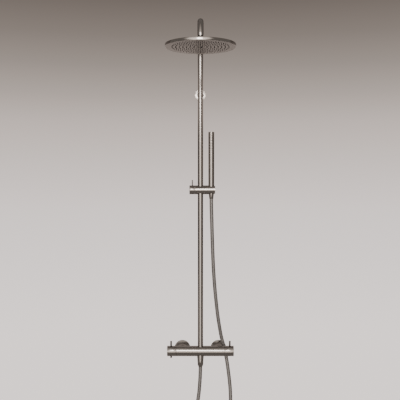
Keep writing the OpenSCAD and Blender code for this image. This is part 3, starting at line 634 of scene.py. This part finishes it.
# --- Arm --------------------------------------------------------------------------------------
# The arm is one drawn tube in the riser's size, bent through two quarter turns and brushed along
# its length. A hidden sleeve joins it to the riser, and both ends are closed flat, with a ring
# close to each.

BEND_R = 56
arm_low, arm_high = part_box("shower_arm")
tube_r = size("shower_arm").x / 2
top_z = arm_high[2] / MM - tube_r
bend_z = top_z - BEND_R
joint_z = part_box("riser_tube")[1][2] / MM
head_out = -arm_low[1] / MM - tube_r
ARM_END_Z = 1194

riser_out = BAR_OUT / MM
arm_path = [Vector((0, -riser_out, joint_z + h)) for h in (0, 0.4)]
arm_path += [Vector((0, -riser_out, joint_z + (bend_z - joint_z) * k / 12)) for k in range(1, 12)]
for k in range(25):
    a = math.radians(90) * k / 24
    arm_path.append(Vector((0, -riser_out - BEND_R + BEND_R * math.cos(a),
                            bend_z + BEND_R * math.sin(a))))
run = head_out - riser_out - 2 * BEND_R
arm_path += [Vector((0, -riser_out - BEND_R - run * k / 12, top_z)) for k in range(1, 12)]
for k in range(25):
    a = math.radians(90) * k / 24
    arm_path.append(Vector((0, -head_out + BEND_R - BEND_R * math.sin(a),
                            bend_z + BEND_R * math.cos(a))))
arm_path += [Vector((0, -head_out, ARM_END_Z + h)) for h in (1.6, 0.4, 0)]
bm = drawn_tube([p * MM for p in arm_path], tube_r * MM, 64)
brushed_along = brushed("brushed_along", (26, 26, COARSE), GUNMETAL, drawn=True)
arm = new_piece("gooseneck_arm", bm, brushed_along, "column", smooth_angle=35)
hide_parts("shower_arm")


# --- Rain head --------------------------------------------------------------------------------
# A flat round shell with a plate set into its underside. A silicone mat behind the plate has
# 217 soft tapered nozzles that stand through it. A ball joint with a fluted nut holds the head.

NOZZLE_SIDES = 10
NOZZLE_RINGS = 8
NOZZLE_PITCH = 12.5
HUB_R = 15.55
# The seat is 0.2 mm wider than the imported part's, so that its flat facets clear the round seal.
BALL_SEAT_R = 12.7

head_at = Vector((0, middle("head_shell").y, 0))
silicone = moulded("silicone", ((0.022, 0.02, 0.019), (0.032, 0.029, 0.027)), (0.5, 0.62))
brushed_plate = brushed("brushed_plate", (FINE, COARSE, FINE), GUNMETAL, (0.3, 0.38))
finish_nodes(brushed_plate, "face_plate")
finish_nodes(dark_plating, "ball_stud", "head_hub")
finish_nodes(black_rubber, "ball_seal")

low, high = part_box("head_shell")
shell_r = size("head_shell").x / 2
foot, top = low[2] / MM, high[2] / MM
outline = [
    (shell_r - 2, foot), (shell_r, foot), (shell_r, top), (5, top), (5, top - 1.2),
    (shell_r - 2, top - 1.2),
]
bm = turned(outline, steps=160, edge=0.55)
set_down(bm, head_at)
shell = new_piece("rain_head_shell", bm, brushed_round_z, "head")
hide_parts("head_shell")

low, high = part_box("nozzle_mat")
mat_r = size("nozzle_mat").x / 2
tip, back = low[2] / MM, high[2] / MM
bm = turned([(0, back - 1.6), (mat_r, back - 1.6), (mat_r, back), (0, back)], steps=72,
            closed=False, edge=0.3)
nozzle = turned([
    (0, back - 1.4), (1.4, back - 1.4), (1.36, tip + 1.1), (1.15, tip + 0.15), (0.95, tip),
    (0.6, tip), (0.5, tip + 0.9), (0, tip + 0.9),
], steps=NOZZLE_SIDES, closed=False)
one_nozzle = spare_mesh("one_nozzle", nozzle)
for ring in range(NOZZLE_RINGS + 1):
    for i in range(max(1, 6 * ring)):
        count = len(bm.verts)
        bm.from_mesh(one_nozzle)
        bm.verts.ensure_lookup_table()
        turn = Matrix.Rotation(math.tau * i / max(1, 6 * ring), 3, "Z")
        bmesh.ops.translate(bm, verts=bm.verts[count:],
                            vec=turn @ Vector((ring * NOZZLE_PITCH * MM, 0, 0)))
bpy.data.meshes.remove(one_nozzle)
set_down(bm, head_at)
mat = new_piece("rain_nozzles", bm, silicone, "head", smooth_angle=50)
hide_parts("nozzle_mat")

low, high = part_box("socket_nut")
socket_r = size("socket_nut").x / 2
foot, top = low[2] / MM, high[2] / MM
ball_z = top - 8
outline = [(HUB_R, foot), (socket_r, foot), (socket_r, top - 4), (socket_r - 5, top)]
for degrees in (39.8, 30, 20, 10, 0):
    a = math.radians(degrees)
    outline.append((BALL_SEAT_R * math.cos(a), ball_z + BALL_SEAT_R * math.sin(a)))
outline.append((HUB_R, ball_z))
bm = turned(outline, steps=120)
flank = [f for f in bm.faces if abs(f.normal.z) < 0.1 and f.calc_center_median().xy.length
         > (socket_r - 0.5) * MM]
flutes = [f for f in flank
          if int(math.degrees(math.atan2(f.calc_center_median().y, f.calc_center_median().x))
                 // 3) % 5 in (0, 1)]
bmesh.ops.inset_region(bm, faces=flutes, thickness=0.35 * MM, depth=-0.5 * MM)
set_down(bm, head_at)
socket = new_piece("fluted_socket_nut", bm, dark_plating, "head")
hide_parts("socket_nut")


# --- Holder -----------------------------------------------------------------------------------
# A round bar across the riser slides on a plastic sleeve and holds the handset in a tapered seat.
# The knob at its left end presses a pad on the riser, turned by a slim pin.

finish_nodes(brushed_round_x, "holder_body")
finish_nodes(grey_plastic, "slider_bush")
finish_nodes(white_plastic, "lock_pad")
finish_nodes(machined_steel, "lock_screw")

low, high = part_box("lock_knob")
lock_r = size("lock_knob").y / 2
lock_len = size("lock_knob").x
holder_z = middle("lock_knob").z
outline = [(0, 0), (lock_r, 0), (lock_r, lock_len), (3.05, lock_len), (3.05, 5), (0, 5)]
bm = turned(outline, closed=False, edge=0.5)
set_down(bm, (low[0], -BAR_OUT, holder_z), along=(1, 0, 0))
lock = new_piece("locking_knob", bm, brushed_round_x, "lock")
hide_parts("lock_knob")

low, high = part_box("lock_pin")
pin_r = size("lock_pin").x / 2
pin_len = size("lock_pin").z
bm = turned([(0, 0), (pin_r, 0), (pin_r, pin_len), (0, pin_len)], steps=32, closed=False,
            edge=0.6)
set_down(bm, (middle("lock_pin").x, -BAR_OUT, low[2]))
pin = new_piece("locking_pin", bm, pin_steel, "lock")
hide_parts("lock_pin")


# --- Handset ----------------------------------------------------------------------------------
# A slim stick handset: a brushed tube with a flat cap, soft nozzles near its top, and inside it a
# spray core and a threaded inlet. The hose ends in a crimped ferrule in its tapered nut.

finish_nodes(brushed_upright, "handset_tube")
finish_nodes(grey_plastic, "spray_core")
finish_nodes(machined_brass, "handset_inlet")
finish_nodes(machined_steel, "handset_ferrule")
finish_nodes(black_rubber, "handset_washer")

handset_at = Vector((middle("handset_tube").x, -BAR_OUT, 0))
handset_r = size("handset_tube").x / 2
low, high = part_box("handset_cap")
cap_top, cap_foot = high[2] / MM, low[2] / MM
bore_r = handset_r - 1.45
outline = [
    (0, cap_foot), (bore_r, cap_foot), (bore_r, cap_top - 2), (handset_r, cap_top - 2),
    (handset_r, cap_top), (0, cap_top),
]
bm = turned(outline, steps=80, closed=False, edge=0.5)
set_down(bm, handset_at)
cap = new_piece("handset_end_cap", bm, brushed_round_z, "handset")
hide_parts("handset_cap")

low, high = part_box("handset_hose_nut")
foot, top = low[2] / MM, high[2] / MM
shoulder = foot + 35
thread_foot = shoulder - 4.2
outline = [
    (NUT_THREAD_R, top), (handset_r, top), (handset_r, shoulder), (CONE_TIP_R, foot),
    (NUT_HOLE_R, foot), (NUT_HOLE_R, thread_foot), (NUT_THREAD_R, thread_foot),
]
bm = turned(outline, steps=80, edge=0.3)
set_down(bm, handset_at)
nut = new_piece("handset_cone_nut", bm, brushed_round_z, "handset")
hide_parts("handset_hose_nut")

SPRAY_ROWS = 6
SPRAY_PITCH = 11
FIRST_ROW_DROP = 13.5
spray_nozzle = turned([
    (0, 0), (1.2, 0), (1.15, 1.6), (0.95, 2.15), (0.55, 2.2), (0.45, 1.6), (0, 1.6),
], steps=14, closed=False)
one_nozzle = spare_mesh("one_nozzle", spray_nozzle)
bm = bmesh.new()
for row in range(SPRAY_ROWS):
    for angle in (-24, 0, 24):
        count = len(bm.verts)
        bm.from_mesh(one_nozzle)
        bm.verts.ensure_lookup_table()
        fresh = bm.verts[count:]
        out = Matrix.Rotation(math.radians(angle), 3, "Z") @ Vector((0, -1, 0))
        turn = Vector((0, 0, 1)).rotation_difference(out).to_matrix()
        height = (cap_top - FIRST_ROW_DROP - row * SPRAY_PITCH) * MM
        bmesh.ops.rotate(bm, verts=fresh, cent=(0, 0, 0), matrix=turn)
        bmesh.ops.translate(bm, verts=fresh,
                            vec=handset_at + out * (handset_r - 1.4) * MM
                            + Vector((0, 0, height)))
bpy.data.meshes.remove(one_nozzle)
spray = new_piece("spray_nozzles", bm, silicone, "handset", smooth_angle=50)
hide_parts("handset_nozzles")


# --- Studio -----------------------------------------------------------------------------------
# A pale round floor that curves up into a backdrop, one soft bright window in front, and a dim
# room around it. A glow behind the column stands for the light that a pale wall gives back.

FLOOR_Z = -1.0
STAGE_R = 8.0
STAGE_SIDE_TOP = 7
STAGE_CROWN = 9


def softbox(name, place, aim, extent, power):
    data = bpy.data.lights.new(name, "AREA")
    data.shape = "RECTANGLE"
    data.size, data.size_y = extent
    data.energy = power
    light = bpy.data.objects.new(name, data)
    light.location = place
    light.rotation_euler = (Vector(aim) - Vector(place)).to_track_quat("-Z", "Y").to_euler()
    light.visible_camera = False
    bpy.context.scene.collection.objects.link(light)


softbox("front_light", (-0.2, -5.6, 2.15), (0, 0, 0.9), (1.3, 1.3), 80)

world = bpy.data.worlds.new("room")
world.use_nodes = True
room = world.node_tree


def room_math(operation, *inputs):
    node = add_node(room, "ShaderNodeMath", operation=operation)
    for socket, value in zip(node.inputs, inputs):
        if isinstance(value, (int, float)):
            socket.default_value = value
        else:
            room.links.new(value, socket)
    return node.outputs[0]


def room_fade(value, dark_at, bright_at):
    node = add_node(room, "ShaderNodeMapRange", interpolation_type="SMOOTHSTEP")
    node.inputs["From Min"].default_value = dark_at
    node.inputs["From Max"].default_value = bright_at
    room.links.new(value, node.inputs["Value"])
    return node.outputs["Result"]


direction = add_node(room, "ShaderNodeSeparateXYZ")
room.links.new(add_node(room, "ShaderNodeTexCoord").outputs["Generated"], direction.inputs[0])
x, y, z = (direction.outputs[k] for k in range(3))
azimuth = room_math("ADD", room_math("ARCTAN2", x, room_math("MULTIPLY", y, -1)), 0.1)
sideways = room_math("ABSOLUTE", azimuth)
upward = room_math("ARCSINE", z)
widening = room_math("MULTIPLY", room_fade(upward, 0.12, 0.2), room_fade(upward, 0.5, 0.3))
width = room_math("MULTIPLY_ADD", widening, 0.45, 0.55)
window = room_math("MULTIPLY", room_fade(room_math("DIVIDE", sideways, width), 0.95, 0.4),
                   room_fade(upward, -0.42, -0.26))
window = room_math("MULTIPLY", window, room_fade(upward, 0.38, 0.26))
above = room_math("MULTIPLY", room_fade(sideways, 0.8, 0.4), room_fade(upward, 1.75, 0.1))
above = room_math("MULTIPLY", above, room_fade(upward, -0.25, 0.1))
level = room_math("MULTIPLY_ADD", window, 2.0, 0.3)
level = room_math("MULTIPLY_ADD", above, 0.95, level)
paint = room.nodes["Background"]
paint.inputs["Color"].default_value = (1.0, 0.94, 0.89, 1)
room.links.new(level, paint.inputs["Strength"])
bpy.context.scene.world = world


def glowing(name, stops, low, high):
    """Light given off evenly, in colours that change with height in metres."""
    n = Nodes(name)
    n.shader.inputs["Base Color"].default_value = (0, 0, 0, 1)
    n.shader.inputs["Roughness"].default_value = 1.0
    n.shader.inputs["Specular IOR Level"].default_value = 0.0
    n.shader.inputs["Emission Strength"].default_value = 1.0
    height = n.add("ShaderNodeSeparateXYZ")
    n.link(n.place(), height.inputs["Vector"])
    n.to_shader(n.colours(n.span(height.outputs["Z"], 0, 1, low, high), [
        ((place - low) / (high - low), colour) for place, colour in stops
    ]), "Emission Color")
    return n.material


BACKDROP = [
    (-1.0, (1.4, 1.27, 1.22)), (-0.3, (1.26, 1.14, 1.1)), (0.5, (1.12, 1.0, 0.96)),
    (1.25, (0.88, 0.77, 0.72)), (1.75, (0.72, 0.62, 0.57)), (2.15, (0.53, 0.455, 0.41)),
    (2.6, (0.37, 0.315, 0.28)), (3.05, (0.265, 0.223, 0.196)), (3.6, (0.18, 0.15, 0.131)),
]
bm = bmesh.new()
outline = [bm.verts.new((0, 0, FLOOR_Z))]
FILLET = 2.0
CORNERS = 16
for k in range(CORNERS + 1):
    a = math.radians(90) * k / CORNERS
    outline.append(bm.verts.new((
        STAGE_R - FILLET + FILLET * math.sin(a), 0, FLOOR_Z + FILLET - FILLET * math.cos(a)
    )))
outline.append(bm.verts.new((STAGE_R, 0, STAGE_SIDE_TOP)))
outline.append(bm.verts.new((0, 0, STAGE_CROWN)))
edges = [bm.edges.new(pair) for pair in zip(outline, outline[1:])]
bmesh.ops.spin(bm, geom=outline + edges, cent=(0, 0, 0), axis=(0, 0, 1),
               angle=math.tau, steps=72, use_merge=True)
bmesh.ops.remove_doubles(bm, verts=bm.verts, dist=1e-5)
stage = new_piece("backdrop", bm, glowing("backdrop", BACKDROP, -1.0, 3.6), None)
stage.visible_glossy = False
stage.visible_diffuse = False
stage.visible_shadow = False

WALL_GLOW = [
    (-0.9, (0.3, 0.27, 0.255)), (-0.03, (0.34, 0.305, 0.29)), (0.05, (0.55, 0.495, 0.47)),
    (0.2, (0.42, 0.375, 0.355)), (0.4, (0.14, 0.125, 0.117)), (0.9, (0.14, 0.122, 0.113)),
    (0.98, (0.72, 0.625, 0.575)), (1.12, (0.72, 0.62, 0.57)), (1.2, (0.24, 0.205, 0.19)),
    (1.6, (0.14, 0.12, 0.11)),
]
bm = bmesh.new()
bmesh.ops.create_grid(bm, x_segments=4, y_segments=4, size=1.5)
set_down(bm, (0, 12 * MM, 0.3), along=(0, -1, 0))
wall = new_piece("wall_glow", bm, glowing("wall_glow", WALL_GLOW, -0.9, 1.6), None)
wall.visible_camera = False
wall.visible_diffuse = False
wall.visible_shadow = False
